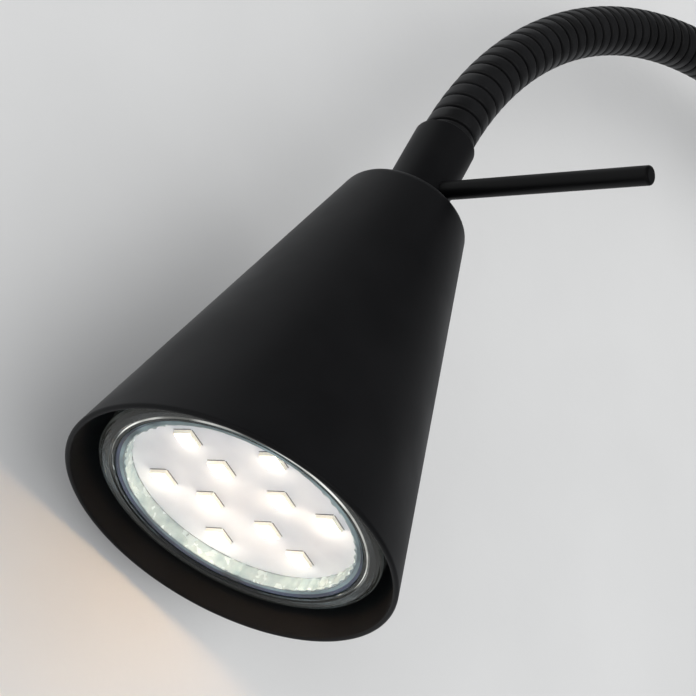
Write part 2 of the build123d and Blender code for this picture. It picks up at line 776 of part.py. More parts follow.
with BuildPart() as lamp_glass:
    with BuildSketch(head_section):
        with BuildLine():
            ThreePointArc((base_rim, bowl_back), (bowl_belly, bowl_middle), (shoulder, rim_back))
            Polyline(
                (shoulder, rim_back),
                (lamp_rim_radius, rim_back),
                (lamp_rim_radius, lamp_front),
                (rim_inside, lamp_front),
                (rim_inside, glass_seat),
                (board_pocket, glass_seat),
                (board_pocket, board_back),
                (board_pocket - board_ledge, board_back),
            )
            ThreePointArc(
                (board_pocket - board_ledge, board_back),
                (bowl_belly - lamp_glass_wall, bowl_middle),
                (base_rim - lamp_glass_wall, bowl_back),
            )
            Line((base_rim - lamp_glass_wall, bowl_back), (base_rim, bowl_back))
        make_face()
    revolve(axis=head_line)

with BuildPart() as front_glass:
    disc(head_plane(glass_seat), 2 * (rim_inside - seat_clearance), front_glass_thickness)

with BuildPart() as led_board:
    disc(head_plane(board_back), 2 * (board_pocket - seat_clearance), board_thickness)

with BuildPart() as led_chips:
    with BuildSketch(head_plane(board_front)):
        with PolarLocations(led_outer_ring, led_outer_count, led_outer_turn, rotate=False):
            Rectangle(led_size, led_size)
        with PolarLocations(led_inner_ring, led_inner_count, led_inner_turn, rotate=False):
            Rectangle(led_size, led_size)
    extrude(amount=led_height)

# Every piece is written under its own name
pieces = {
    "back_plate": back_plate,
    "base_cover": base_cover,
    "cover_screws": cover_screws,
    "base_ferrule": base_ferrule,
    "base_nipple": base_nipple,
    "base_washer": base_washer,
    "base_nut": base_nut,
    "terminal_block": terminal_block,
    "terminal_tubes": terminal_tubes,
    "terminal_screws": terminal_screws,
    "terminal_fixing_screws": terminal_fixing_screws,
    "earth_washer": earth_washer,
    "earth_screw": earth_screw,
    "switch_housing": switch_housing,
    "switch_rocker": switch_rocker,
    "switch_tabs": switch_tabs,
    "switched_lead": switched_lead,
    "neutral_lead": neutral_lead,
    "live_lead": live_lead,
    "earth_lead": earth_lead,
    "neck_cable": neck_cable,
    "head_collar": head_collar,
    "handle_rod": handle_rod,
    "head_nipple": head_nipple,
    "head_washer": head_washer,
    "head_nut": head_nut,
    "shade": shade,
    "holder_bracket": holder_bracket,
    "lamp_holder": lamp_holder,
    "holder_screws": holder_screws,
    "holder_contacts": holder_contacts,
    "head_leads": head_leads,
    "lamp_base": lamp_base,
    "lamp_pins": lamp_pins,
    "lamp_driver": lamp_driver,
    "lamp_glass": lamp_glass,
    "front_glass": front_glass,
    "led_board": led_board,
    "led_chips": led_chips,
}
for number, link in enumerate(links, start=1):
    pieces[f"neck_link_{number:02d}"] = link

os.makedirs("parts", exist_ok=True)
for label, piece in pieces.items():
    piece.part.label = label
    export_step(piece.part, f"parts/{label}.step")
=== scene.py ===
# %% [markdown]
# # A wall spotlight on a swan neck
# The light is a black cone shade with a reflector lamp, carried by a ribbed neck that bends by hand, on a
# round wall base with a rocker switch. Its solids are packed as a frame of nodes and moving bodies. This
# lesson loads that frame and dresses it: pieces that the eye rests on are modelled again with finer shapes,
# and the rest keep their solids and get a finish. Nothing is moved or resized.

# %% Load the frame
import json
from math import acos, atan2, cos, pi, radians, sin, sqrt, tan

import bmesh
import bpy
from mathutils import Matrix, Vector


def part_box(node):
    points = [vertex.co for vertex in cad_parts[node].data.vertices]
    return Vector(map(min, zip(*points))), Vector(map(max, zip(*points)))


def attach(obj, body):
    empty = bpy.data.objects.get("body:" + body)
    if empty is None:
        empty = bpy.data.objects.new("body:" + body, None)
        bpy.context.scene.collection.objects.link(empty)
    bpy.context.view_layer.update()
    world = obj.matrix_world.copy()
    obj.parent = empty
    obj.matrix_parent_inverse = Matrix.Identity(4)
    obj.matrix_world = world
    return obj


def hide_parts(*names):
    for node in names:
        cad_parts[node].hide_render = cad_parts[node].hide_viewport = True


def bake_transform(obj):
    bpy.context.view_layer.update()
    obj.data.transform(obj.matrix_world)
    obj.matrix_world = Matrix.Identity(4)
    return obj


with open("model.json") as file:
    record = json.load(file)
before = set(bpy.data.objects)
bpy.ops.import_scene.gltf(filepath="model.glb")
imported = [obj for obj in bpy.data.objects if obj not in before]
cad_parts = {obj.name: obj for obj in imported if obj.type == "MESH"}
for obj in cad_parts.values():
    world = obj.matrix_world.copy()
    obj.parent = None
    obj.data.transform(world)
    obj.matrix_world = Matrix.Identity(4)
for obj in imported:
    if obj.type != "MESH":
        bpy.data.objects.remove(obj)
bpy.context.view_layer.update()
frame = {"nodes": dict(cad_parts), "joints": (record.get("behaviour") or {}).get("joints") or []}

mm = 0.001
nodes = frame["nodes"]
joints = {joint["name"]: joint for joint in frame["joints"]}
scene = bpy.context.scene

# %% [markdown]
# ## Directions
# The head hangs on a slanted line, so its pieces are drawn in the head's own frame: Z runs from the shade's
# top to its mouth, and X runs along the handle rod. The joints in the frame already hold that line and the
# plane in which the neck bends, so they are read instead of typed again.

# %% The head's frame
head_top = Vector(joints["lamp_twist"]["pos_m"])
head_axis = Vector(joints["lamp_twist"]["axis"]).normalized()
neck_normal = Vector(joints["neck_bend_1"]["axis"]).normalized()
toward_bend = head_axis.cross(neck_normal)
handle_turn = radians(13.6)
handle_direction = toward_bend * sin(handle_turn) - neck_normal * cos(handle_turn)


def frame_at(origin, x_axis, z_axis):
    """Matrix that lays a piece's own X and Z along two directions of the frame."""
    turn = Matrix((x_axis, z_axis.cross(x_axis), z_axis)).transposed()
    return Matrix.Translation(origin) @ turn.to_4x4()


def new_object(name, data):
    """Object of a mesh, a light or a camera, put into the scene."""
    made = bpy.data.objects.new(name, data)
    scene.collection.objects.link(made)
    return made


head_frame = frame_at(head_top, handle_direction, head_axis)
print("head top", [round(v / mm, 1) for v in head_top], "mm")

# %% [markdown]
# ## Camera
# The photograph was taken from close by, low and to the left, so the shade's mouth looks large and its top
# small. A camera could be placed by eye, but the ellipses of the rim and the mouth fix it. Its place and
# its two directions are given as parts along the head's axis, towards the middle of the neck's bend and
# towards the wall, because that is how they were worked out.

# %% Camera
shade_length = 74 * mm
mouth = head_top + head_axis * shade_length
camera_from_mouth = Vector((135.3, -129.3, -217.9)) * mm
look_parts = Vector((-0.574, 0.4255, 0.700))
upward_parts = Vector((-0.716, -0.675, -0.178))

head_directions = Matrix((head_axis, toward_bend, neck_normal)).transposed()
camera_place = mouth + head_directions @ camera_from_mouth
look = (head_directions @ look_parts).normalized()
right = look.cross(head_directions @ upward_parts).normalized()

camera = new_object("camera", bpy.data.cameras.new("camera"))
camera.data.sensor_width = 36
camera.data.lens = 93.1
camera.data.clip_start = 5 * mm
camera.matrix_world = frame_at(camera_place, right, -look)
scene.camera = camera
print("camera", [round(v / mm) for v in camera_place], "mm")

# %% [markdown]
# ## Small helpers for finishes
# A finish is one Principled shader with constant values on its own sockets, plus a few nodes for what
# varies. One function adds a node with its settings and links, and another turns sRGB hex codes, as read
# off colour cards, into the linear values that shaders take. Most surfaces vary in the same three ways:
# colour and gloss drift in patches, a grain stands out, and edges are rounded. One more function draws
# these.


# %% Colours and nodes
def linear(code):
    """Linear colour of an sRGB hex code."""
    parts = [int(code[i:i + 2], 16) / 255 for i in (1, 3, 5)]
    return [p / 12.92 if p <= 0.04045 else ((p + 0.055) / 1.055) ** 2.4 for p in parts] + [1.0]


def plug(tree, node, inputs):
    """Fills a node's sockets: with a constant, with an output, or with the first output of a node."""
    for socket, value in inputs.items():
        if isinstance(value, bpy.types.Node):
            value = value.outputs[0]
        if isinstance(value, bpy.types.NodeSocket):
            tree.links.new(value, node.inputs[socket])
        else:
            node.inputs[socket].default_value = value


def add(tree, kind, inputs=None, **settings):
    """Adds one shader node, with its settings, its socket values and its links."""
    made = tree.nodes.new("ShaderNode" + kind)
    for name, value in settings.items():
        setattr(made, name, value)
    plug(tree, made, inputs or {})
    return made


def finish(name, sockets):
    """New material with one Principled shader; returns the material, its node tree and the shader."""
    material = bpy.data.materials.new(name)
    material.use_nodes = True
    shader = material.node_tree.nodes["Principled BSDF"]
    plug(material.node_tree, shader, sockets)
    return material, material.node_tree, shader


print("middle grey in linear light:", round(linear("#808080")[0], 3))

# %% Surfaces
# A noise is mostly between these values, so a drift runs its whole way from one to the other
noise_low = 0.3
noise_high = 0.7


def surface(name, sockets, colours, patch, gloss=None, grains=(), edge=0):
    """Finish that drifts in patches (size, detail), with grains (size, detail, strength, depth) on it."""
    material, tree, shader = finish(name, sockets)
    place = add(tree, "TexCoord").outputs["Object"]
    size, detail = patch
    drift = add(tree, "TexNoise", {"Vector": place, "Scale": 1 / size, "Detail": detail})
    ramp = add(tree, "ValToRGB", {"Fac": drift})
    for stop, position, code in zip(ramp.color_ramp.elements, (noise_low, noise_high), colours):
        stop.position = position
        stop.color = linear(code)
    plug(tree, shader, {"Base Color": ramp})
    if gloss:
        spread = add(tree, "MapRange", {
            "Value": drift, "From Min": noise_low, "From Max": noise_high,
            "To Min": gloss[0], "To Max": gloss[1],
        })
        plug(tree, shader, {"Roughness": spread})
    relief = {"Normal": add(tree, "Bevel", {"Radius": edge}, samples=4)} if edge else {}
    for size, detail, strength, depth in grains:
        grain = add(tree, "TexNoise", {"Vector": place, "Scale": 1 / size, "Detail": detail})
        bump = add(tree, "Bump", {"Height": grain, "Strength": strength, "Distance": depth, **relief})
        relief = {"Normal": bump}
    plug(tree, shader, relief)
    return material


print("a drift follows its noise from", noise_low, "to", noise_high)

# %% [markdown]
# ## Powder coat and lacquer
# The shade, collar, rod and base are steel with a matt black powder coat. The powder melts into a film with
# a faint orange peel about a millimetre across and a finer grain, which spreads highlights into soft bands.
# Its edges are rounded by a tenth of a millimetre or a little more, and hands leave smoother patches. The
# neck is a steel strip wound over a round wire and lacquered black. Its gloss varies more, because its
# crowns are rubbed smooth and the lacquer pools between the turns.


# %% Coated steel
def powder_coat(name, dark, pale, edge):
    """Matt film that shows the eye a soft, slightly uneven sheen and no clear reflection."""
    peel = (1.1 * mm, 1.0, 0.10, 0.05 * mm)
    grain = (0.25 * mm, 2.0, 0.12, 0.03 * mm)
    sockets = {"IOR": 1.5, "Specular IOR Level": 0.27}
    return surface(name, sockets, (dark, pale), (14 * mm, 3.0), (0.40, 0.50), [peel, grain], edge)


coated_steel = powder_coat("matt black powder-coated steel", "#0d0d0f", "#131315", 0.15 * mm)
rod_steel = powder_coat("black powder-coated rod", "#070708", "#0b0b0c", 0.10 * mm)

# Thin lacquer that shows the eye a dull line of light on every turn
lacquer_grain = (0.3 * mm, 2.0, 0.15, 0.03 * mm)
neck_steel = surface(
    "black lacquered wound steel", {"IOR": 1.5}, ("#101011", "#18181a"), (6 * mm, 4.0), (0.36, 0.50),
    [lacquer_grain],
)
print("finishes:", [steel.name for steel in (coated_steel, rod_steel, neck_steel)])

# %% [markdown]
# ## Metals
# Zinc plate on pressed steel is pale grey with a faint blue cloud. Drawn brass and nickel are smoother,
# with fine lines from drawing or turning. They differ only in colour, cloud and gloss, so one function
# makes all three.


# %% Bare metals
def bare_metal(name, dark, pale, cloud, smooth, rough):
    """Plated or drawn metal that shows the eye blurred reflections with clouds in their tone."""
    lines = (0.2 * mm, 2.0, 0.06, 0.02 * mm)
    return surface(name, {"Metallic": 1.0}, (dark, pale), (cloud, 5.0), (smooth, rough), [lines], 0.12 * mm)


zinc_plate = bare_metal("zinc-plated pressed steel", "#9fa6ad", "#c4c8cc", 5 * mm, 0.28, 0.42)
drawn_brass = bare_metal("drawn brass", "#b08d4a", "#cdaa63", 3 * mm, 0.22, 0.34)
nickel_plate = bare_metal("nickel-plated brass", "#b5b0a5", "#d0ccc2", 3 * mm, 0.15, 0.25)
print("metals:", [metal.name for metal in (zinc_plate, drawn_brass, nickel_plate)])

# %% [markdown]
# ## Plastics, ceramic and wire
# The terminal block is natural nylon, the lamp's base white PBT, the switch black ABS from a spark-eroded
# mould, and the lamp holder fired steatite with dark specks. Wire insulation is soft PVC. They differ
# mainly in colour, gloss and the grain of the mould, so one function takes those as arguments.


# %% Moulded and fired finishes
def moulded(name, dark, pale, smooth, rough, grain_size, grain_depth, index=1.5):
    """Moulded, fired or extruded finish that shows the eye a soft gloss broken by the grain of its mould."""
    grain = (grain_size, 3.0, 0.25, grain_depth)
    return surface(name, {"IOR": index}, (dark, pale), (4 * mm, 3.0), (smooth, rough), [grain], 0.15 * mm)


natural_nylon = moulded("natural moulded nylon", "#d9d5c8", "#e6e3d8", 0.38, 0.5, 0.5 * mm, 0.02 * mm, 1.53)
switch_abs = moulded("black moulded ABS", "#101011", "#161617", 0.3, 0.42, 0.3 * mm, 0.03 * mm, 1.54)
white_pbt = moulded("white moulded PBT", "#e0e0dc", "#ececea", 0.35, 0.45, 0.4 * mm, 0.02 * mm, 1.55)
fired_steatite = moulded("fired steatite", "#d8d0c0", "#e8e2d6", 0.3, 0.5, 0.25 * mm, 0.04 * mm, 1.58)
circuit_laminate = moulded("green glass-fibre laminate", "#0f4a25", "#1b6a38", 0.3, 0.45, 0.5 * mm, 0.03 * mm)
# Painted shadow: dark strips at the upper and right side of each diode's foot, drawn as copper tracks
painted_shadow_track = moulded("painted shadow line at diode foot", "#2c2824", "#443e38", 0.35, 0.5, 0.3 * mm, 0.01 * mm)
grey_adhesive = moulded("grey silicone adhesive", "#262624", "#34332f", 0.5, 0.6, 0.5 * mm, 0.01 * mm, 1.41)
mark_paint = moulded("white pad-printed mark", "#d8d8d8", "#e4e4e4", 0.4, 0.5, 0.3 * mm, 0.01 * mm)
pvc_black = moulded("black PVC sheath", "#121212", "#1c1c1c", 0.45, 0.6, 0.6 * mm, 0.03 * mm, 1.53)
pvc_brown = moulded("brown PVC insulation", "#4a2716", "#5c3320", 0.4, 0.5, 0.6 * mm, 0.02 * mm, 1.53)
pvc_blue = moulded("blue PVC insulation", "#1d4f9c", "#2a63b8", 0.4, 0.5, 0.6 * mm, 0.02 * mm, 1.53)
print("finishes so far:", len(bpy.data.materials))


# %% Striped earth wire
def earth_insulation():
    """Green insulation with yellow bands, as the extruder lays the second colour."""
    material, tree, shader = finish("green and yellow PVC insulation", {"IOR": 1.53, "Roughness": 0.45})
    band_width = 1.8 * mm
    # A wave texture of scale 1 has a band every 0.3 units
    scale = 0.3 / band_width
    place = add(tree, "TexCoord").outputs["Object"]
    bands = add(tree, "TexWave", {"Vector": place, "Scale": scale, "Distortion": 1.0})
    ramp = add(tree, "ValToRGB", {"Fac": bands.outputs["Fac"]})
    ramp.color_ramp.interpolation = "CONSTANT"
    ramp.color_ramp.elements[0].color = linear("#2f7a32")
    ramp.color_ramp.elements[1].color = linear("#d8c531")
    ramp.color_ramp.elements[1].position = 0.6
    plug(tree, shader, {"Base Color": ramp})
    return material


pvc_earth = earth_insulation()
print("finish:", pvc_earth.name)

# %% [markdown]
# ## Glass
# The lamp's bowl and rim are pressed soda-lime glass with a faint green body colour, slightly wavy faces
# and fine rings from the turned mould, which break reflections into streaks along the rim. The rim also
# glows very faintly with light that the lit lamp sends through it. The pane is clear float glass.


# %% Pressed and float glass
def pressed_glass(name, tint, wave, depth, rough, glow, ring_depth):
    """Glass with slow waves in its faces and fine rings round the lamp's axis."""
    material, tree, shader = finish(name, {
        "Base Color": linear(tint), "IOR": 1.52, "Transmission Weight": 1.0, "Roughness": rough,
        "Emission Color": linear("#d2d0c4"), "Emission Strength": glow,
    })
    place = add(tree, "TexCoord").outputs["Object"]
    waves = add(tree, "TexNoise", {"Vector": place, "Scale": 1 / wave, "Detail": 2.0})
    wavy = add(tree, "Bump", {"Height": waves, "Strength": 0.3, "Distance": depth})
    from_top = add(tree, "VectorMath", {0: place, 1: head_top}, operation="SUBTRACT")
    aside = add(tree, "VectorMath", {0: from_top, 1: head_axis}, operation="CROSS_PRODUCT")
    radius = add(tree, "VectorMath", {0: aside}, operation="LENGTH")
    ring_width = 0.4 * mm
    rings = add(tree, "TexNoise", {
        "W": radius.outputs["Value"], "Scale": 1 / ring_width, "Detail": 1.0,
    }, noise_dimensions="1D")
    ringed = add(tree, "Bump", {"Height": rings, "Normal": wavy, "Distance": ring_depth})
    plug(tree, shader, {"Normal": ringed})
    return material


rim_glass = pressed_glass("pressed soda-lime glass", "#e4f0f0", 4 * mm, 0.08 * mm, 0.02, 0.004, 0.06 * mm)
pane_glass = pressed_glass("clear float glass", "#fcfdfe", 20 * mm, 0.02 * mm, 0.0, 0.0, 0.0)
print("glass:", rim_glass.name, "and", pane_glass.name)

# %% [markdown]
# ## Lit glass
# Light inside glass leaves it at edges and rough faces, so these look lit although no lamp shines on them.
# Tracing such paths takes many samples and stays noisy, so a few thin strips glow by themselves, in
# patches: the flanks of the two beads round the rim, and the edge of the pane, which splits white light
# into blue outside and pale green inside.


# %% Glowing edges and etched prisms
def lit_edge(name, tint, rough, colour, patch, dimmest, strength):
    """Edge of lit glass that glows in patches, where light travelling inside the glass leaves it."""
    material, tree, shader = finish(name, {
        "Base Color": linear(tint), "IOR": 1.52, "Roughness": rough, "Emission Color": linear(colour),
    })
    place = add(tree, "TexCoord").outputs["Object"]
    leak = add(tree, "TexNoise", {"Vector": place, "Scale": 1 / patch, "Detail": 2.0})
    glow = add(tree, "MapRange", {
        "Value": leak, "From Min": 0.35, "From Max": 0.65, "To Min": dimmest * strength, "To Max": strength,
    })
    plug(tree, shader, {"Emission Strength": glow})
    return material


blue_edge = lit_edge("blue edge of float glass", "#20242e", 0.3, "#7484b0", 7 * mm, 0.1, 0.24)
green_edge = lit_edge("pale green edge of float glass", "#5c6c70", 0.3, "#b4cdd2", 7 * mm, 0.1, 0.4)
bright_flank = lit_edge("lit inner flank of pressed glass", "#202422", 0.15, "#f4f5f0", 9 * mm, 0.15, 1.0)
dim_flank = lit_edge("lit outer flank of pressed glass", "#202422", 0.15, "#f4f5f0", 9 * mm, 0.15, 0.08)

# Half clear and half scattering, so that the eye sees pale flecks on grey green
# Painted glow: the faint emission adds to the diode light that the prisms catch
etched_glass_painted_glow = surface("etched glass prisms with painted glow", {
    "IOR": 1.52, "Transmission Weight": 0.4, "Emission Color": linear("#b4cfd4"), "Emission Strength": 0.08,
}, ("#93aaad", "#e4efee"), (2.5 * mm, 2.0), (0.12, 0.35))
print("lit edges:", [edge.name for edge in (blue_edge, green_edge, bright_flank, dim_flank)])

# %% [markdown]
# ## Board and light
# The board behind the front pane is aluminium with white solder resist, which glows softly, because the
# pane scatters light back onto it. The light-emitting diodes are yellow phosphor that shines warm white, in
# white cases that are lit from within. They shine only as strongly as the render needs to show them white.


# %% Lit board and diodes
def solder_resist():
    """White resist over aluminium that shows the eye an even white with the faintest relief of tracks."""
    material = surface("white solder resist on aluminium", {
        "IOR": 1.55, "Roughness": 0.45, "Emission Color": linear("#e4e8fa"), "Emission Strength": 0.16,
    }, ("#e2e3e8", "#eeeff3"), (5 * mm, 2.0))
    tree = material.node_tree
    track_spacing = 5 * mm
    tracks = add(tree, "TexVoronoi", {
        "Vector": add(tree, "TexCoord").outputs["Object"], "Scale": 1 / track_spacing,
    }, feature="DISTANCE_TO_EDGE")
    bump = add(tree, "Bump", {"Height": tracks, "Strength": 0.1, "Distance": 0.1 * mm})
    plug(tree, tree.nodes["Principled BSDF"], {"Normal": bump})
    return material


def lit_phosphor(name, dark, pale, strength):
    """Grainy phosphor or case that shines warm white by itself."""
    sockets = {"Roughness": 0.4, "Emission Color": linear("#fff4dc"), "Emission Strength": strength}
    return surface(name, sockets, (dark, pale), (0.3 * mm, 2.0))


board_white = solder_resist()
phosphor = lit_phosphor("lit phosphor", "#f0d890", "#fff0c0", 4.0)
diode_case = lit_phosphor("white diode case lit from within", "#d8d4ca", "#e6e2d8", 0.45)
print("finishes in all:", len(bpy.data.materials))

# %% [markdown]
# ## Small helpers for shapes
# Most pieces are round, so they are turned: an outline of radius and distance is swept round an axis, as on
# a lathe. A Screw modifier could do that too, but here a point may change with the angle, as sockets and
# prisms need. Corners of the outline may carry a rounding radius. Where no point changes with the angle,
# long straight stretches get an extra ring close to each end, which keeps smooth shading from creeping
# across them.


# %% Outlines
def rounded(points, steps=6):
    """Outline with arcs at the corners that name a rounding radius as their third value."""
    count = len(points)
    outline = []
    for i, corner in enumerate(points):
        here = Vector(corner[:2])
        if len(corner) == 2:
            outline.append(here)
            continue
        before = (Vector(points[i - 1][:2]) - here).normalized()
        after = (Vector(points[(i + 1) % count][:2]) - here).normalized()
        half = acos(max(-1, min(1, before.dot(after)))) / 2
        middle = here + (before + after).normalized() * (corner[2] / sin(half))
        start = here + before * (corner[2] / tan(half)) - middle
        end = here + after * (corner[2] / tan(half)) - middle
        sweep = atan2(start.x * end.y - start.y * end.x, start.dot(end))
        outline += [middle + Matrix.Rotation(sweep * k / steps, 2) @ start for k in range(steps + 1)]
    return outline


def held(outline, closed, margin=0.25 * mm):
    """Outline with an extra point near both ends of each long stretch."""
    result = []
    count = len(outline)
    for i in range(count):
        result.append(outline[i])
        if i == count - 1 and not closed:
            break
        run = outline[(i + 1) % count] - outline[i]
        if run.length > 4 * margin:
            result.append(outline[i] + run.normalized() * margin)
            result.append(outline[i] + run - run.normalized() * margin)
    return result


print("a rounded corner becomes", len(rounded([(1, 0, 0.1), (0, 1), (0, 0)])) - 2, "points")


# %% Turned pieces
def joined(rings):
    """Faces from each ring of point numbers to the next; corners that fall together are left out."""
    faces = []
    for low, high in zip(rings, rings[1:]):
        for k in range(len(low)):
            after = (k + 1) % len(low)
            face = list(dict.fromkeys([low[k], low[after], high[after], high[k]]))
            if len(face) > 2:
                faces.append(face)
    return faces


def turned(outline, place, steps=128, closed=True, form=None):
    """Points and faces of an outline swept round Z; form may change radius and distance with the angle."""
    points = []
    rings = []
    for r, a in outline if form else held(outline, closed):
        if r < 1e-7:
            rings.append([len(points)] * steps)
            points.append(place @ Vector((0, 0, a)))
            continue
        rings.append(list(range(len(points), len(points) + steps)))
        for k in range(steps):
            angle = 2 * pi * k / steps
            radius, distance = form(r, a, angle) if form else (r, a)
            points.append(place @ Vector((radius * cos(angle), radius * sin(angle), distance)))
    return points, joined(rings + rings[:1] if closed else rings)


def piece(name, shape, material, body=None, stands_for=(), crease=35):
    """One mesh of the light, with its finish, the body it rides on and the nodes it stands for."""
    points, faces = shape
    mesh = bpy.data.meshes.new(name)
    mesh.from_pydata([tuple(p) for p in points], [], faces)
    shell = bmesh.new()
    shell.from_mesh(mesh)
    bmesh.ops.recalc_face_normals(shell, faces=shell.faces)
    shell.to_mesh(mesh)
    shell.free()
    mesh.shade_smooth()
    mesh.set_sharp_from_angle(angle=radians(crease))
    mesh.materials.append(material)
    made = new_object(name, mesh)
    if body:
        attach(made, body)
    if stands_for:
        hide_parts(*stands_for)
    return made


# Sides of the wide rims that are seen from close by, of the rod and of small round things
rim_steps = 192
rod_steps = 64
small_steps = 48
print("rims have", rim_steps, "sides")

# %% [markdown]
# ## Shade
# A steel cone, spun over a former: a flat top with a rounded edge, a straight side and a thin plain lip. A
# cone with a Solidify modifier would leave a square lip. So it is one closed outline turned round the
# head's axis, with both skins of the sheet and the true rounding of lip and top.

# %% Shade
shade_top_radius = 12 * mm
shade_mouth_radius = 29.33 * mm
shade_wall = 1.0 * mm
lip_wall = 1.03 * mm
nipple_hole = 4.05 * mm
top_edge = 2.0 * mm
inner_top_edge = 0.8 * mm
lip_edge = 0.48 * mm

shade_outline = rounded([
    (nipple_hole, 0),
    (shade_top_radius, 0, top_edge),
    (shade_mouth_radius, shade_length, lip_edge),
    (shade_mouth_radius - lip_wall, shade_length, lip_edge),
    (shade_top_radius - inner_top_edge, shade_wall, inner_top_edge),
    (nipple_hole, shade_wall),
])
shape = turned(shade_outline, head_frame, rim_steps)
piece("shade_cone", shape, coated_steel, "head", ["shade"])
print("shade:", round(shade_length / mm), "mm long")

# %% [markdown]
# ## Collar and handle rod
# The collar is turned from bar: a plain sleeve with a small bevel round its upper edge, where the neck goes
# in. The rod that aims the lamp is plain round bar with a broken edge at its tip, screwed into the collar.
# Both are outlines again. The rod's own frame lies across the head, and its foot is sunk a little into the
# round sleeve.

# %% Collar
sleeve_radius = 6.1 * mm
sleeve_foot = 0.15 * mm
sleeve_edge = 0.5 * mm
bevel_round = 0.2 * mm
collar_length = 20.35 * mm
neck_socket = 10.4 * mm
neck_radius = 5.2 * mm
neck_play = 0.05 * mm
nipple_radius = 4.0 * mm

collar_outline = rounded([
    (nipple_radius, 0),
    (sleeve_radius, 0, sleeve_foot),
    (sleeve_radius, sleeve_edge - collar_length, bevel_round),
    (sleeve_radius - sleeve_edge, -collar_length, bevel_round),
    (neck_radius + neck_play, -collar_length),
    (neck_radius + neck_play, neck_socket - collar_length),
    (nipple_radius, neck_socket - collar_length),
])
shape = turned(collar_outline, head_frame)
piece("collar_sleeve", shape, coated_steel, "head", ["head_collar"])
print("collar:", round(collar_length / mm, 2), "mm long")

# %% Handle rod
handle_radius = 1.75 * mm
handle_reach = 47.3 * mm
handle_above_shade = 6.2 * mm
handle_sunk = 0.1 * mm
handle_seat = sqrt(sleeve_radius ** 2 - handle_radius ** 2) - handle_sunk
handle_tip = 0.5 * mm
handle_frame = frame_at(head_top - head_axis * handle_above_shade, head_axis, handle_direction)
rod_outline = [Vector((0, handle_seat))] + rounded([
    (handle_radius, handle_seat),
    (handle_radius, handle_reach, handle_tip),
    (0, handle_reach),
    (0, handle_seat),
])[:-1]
shape = turned(rod_outline, handle_frame, rod_steps, closed=False)
piece("aiming_rod", shape, rod_steel, "head", ["handle_rod"])
print("rod reach", round(handle_reach / mm, 1), "mm")

# %% [markdown]
# ## Neck
# The wound strip makes one right-handed groove that climbs about 3.3 mm a turn. Its turns stand wider near
# the head and closer round the top of the bend, and the groove is nearly closed near both ends. A stack of
# rings would be simpler, but rings don't climb. Here the rows of the mesh follow the groove, so every turn
# keeps a clean edge however the neck is bent, and the tube closes on itself one turn further on. It is cut
# along the groove into stretches, from the middle of one link to the middle of the next. The first and last
# ride on the base and on the head.

# %% Neck centre line
neck_bend_radius = 96 * mm
neck_bend_angle = radians(137)
neck_links = 14
turns_per_link = 5

up = Vector((0, 0, 1))
neck_out = -neck_normal.cross(up).normalized()
neck_length = neck_bend_radius * neck_bend_angle
link_length = neck_length / neck_links
turn_pitch = link_length / turns_per_link
ferrule_low, ferrule_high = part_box("base_ferrule")
neck_start = (ferrule_low + ferrule_high) / 2
neck_start.z = ferrule_high.z


def neck_place(distance):
    """Point and heading of the neck's centre line, measured from the base's ferrule."""
    turn = min(max(distance, 0), neck_length) / neck_bend_radius
    heading = neck_out * sin(turn) + up * cos(turn)
    bend = neck_out * (1 - cos(turn)) + up * sin(turn)
    straight = distance - turn * neck_bend_radius
    return neck_start + bend * neck_bend_radius + heading * straight, heading


def neck_point(distance, angle, radius):
    """Point of the neck's skin; the angle starts on the wall side."""
    middle, heading = neck_place(distance)
    return middle + (neck_normal * cos(angle) + heading.cross(neck_normal) * sin(angle)) * radius


collar_top = head_top - head_axis * collar_length
print("neck ends", [round(v / mm, 2) for v in neck_place(neck_length)[0] - collar_top], "mm off the collar")

# %% Turns of the neck
neck_turns = neck_links * turns_per_link
pitch_swing = 0.12
closed_groove = 0.20
open_groove = 0.34
closed_turns = 4
opening_turns = 14
groove_depth = 0.55 * mm
groove_floor = 0.8
crown_edge_share = 0.045
crown_edge = 0.10 * mm
crown_side = 0.03 * mm
crown_share = 0.3
crown_fall = 0.01 * mm


def turn_place(turn):
    """Distance of a turn from the ferrule, with the pitch that varies along the neck."""
    left = min(max(1 - turn / neck_turns, 0), 1)
    return turn * turn_pitch - neck_length * pitch_swing * sin(3 * pi * left) / (3 * pi)


def turn_shape(turn):
    """Shares of a turn and how deep they sink; the groove is closed near both ends and open in the bend."""
    opening = (min(turn, neck_turns - turn) - closed_turns) / opening_turns
    half = (closed_groove + (open_groove - closed_groove) * min(max(opening, 0), 1)) / 2
    rise = [
        (half * groove_floor, groove_depth), (half, crown_edge), (half + crown_edge_share, crown_side),
        (crown_share, crown_fall),
    ]
    return [(0, groove_depth)] + rise + [(0.5, 0)] + [(1 - share, sink) for share, sink in reversed(rise)]


print("pitch", round(turn_pitch / mm, 2), "mm, rows in a turn:", len(turn_shape(0)))

# %% Skin and bore of a stretch
around = 72
neck_bore_radius = 2.4 * mm
neck_crease = 60


def groove_grid(rows, step, points):
    """Adds points in rows that follow the groove; after one turn, or step rows, the tube meets itself."""
    first = len(points)
    for start, radius in rows:
        for i in range(around):
            points.append(neck_point(turn_place(start + i / around), 2 * pi * i / around, radius))
    grid = {(i, j): first + j * around + i for j in range(len(rows)) for i in range(around)}
    for j, (start, radius) in enumerate(rows):
        if j + step < len(rows):
            grid[around, j] = grid[0, j + step]
        else:
            grid[around, j] = len(points)
            points.append(neck_point(turn_place(start + 1), 0, radius))
    return grid


